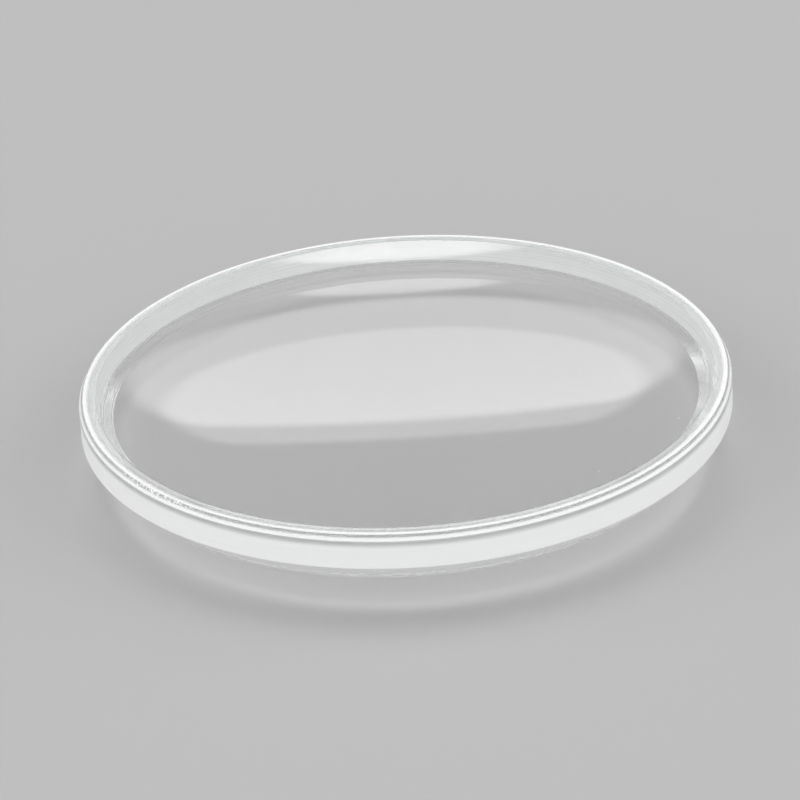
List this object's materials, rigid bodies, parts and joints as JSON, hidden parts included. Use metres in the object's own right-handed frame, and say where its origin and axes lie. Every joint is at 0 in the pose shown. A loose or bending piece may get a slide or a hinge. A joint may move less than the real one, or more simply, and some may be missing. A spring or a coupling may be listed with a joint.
{
  "type": "watch crystal",
  "caption": "Bare round double domed watch crystal: clear polished dome and bowl, matt ground cylindrical edge, bevelled front and small chamfer round the flat seat.",
  "frame": {"origin": "crown of the outer dome, the lowest point as the crystal lies hollow side up", "axes": "+Z along the axis of the crystal, from the outer dome towards the side that faces the dial; X and Y are free, because the piece is round"},
  "size_m": [0.0315, 0.0314, 0.0042],
  "materials": {
    "crystal": "clear mineral glass, polished faces, matt ground edge"
  },
  "bodies": {
    "root": {"crystal": "crystal"}
  },
  "joints": []
}
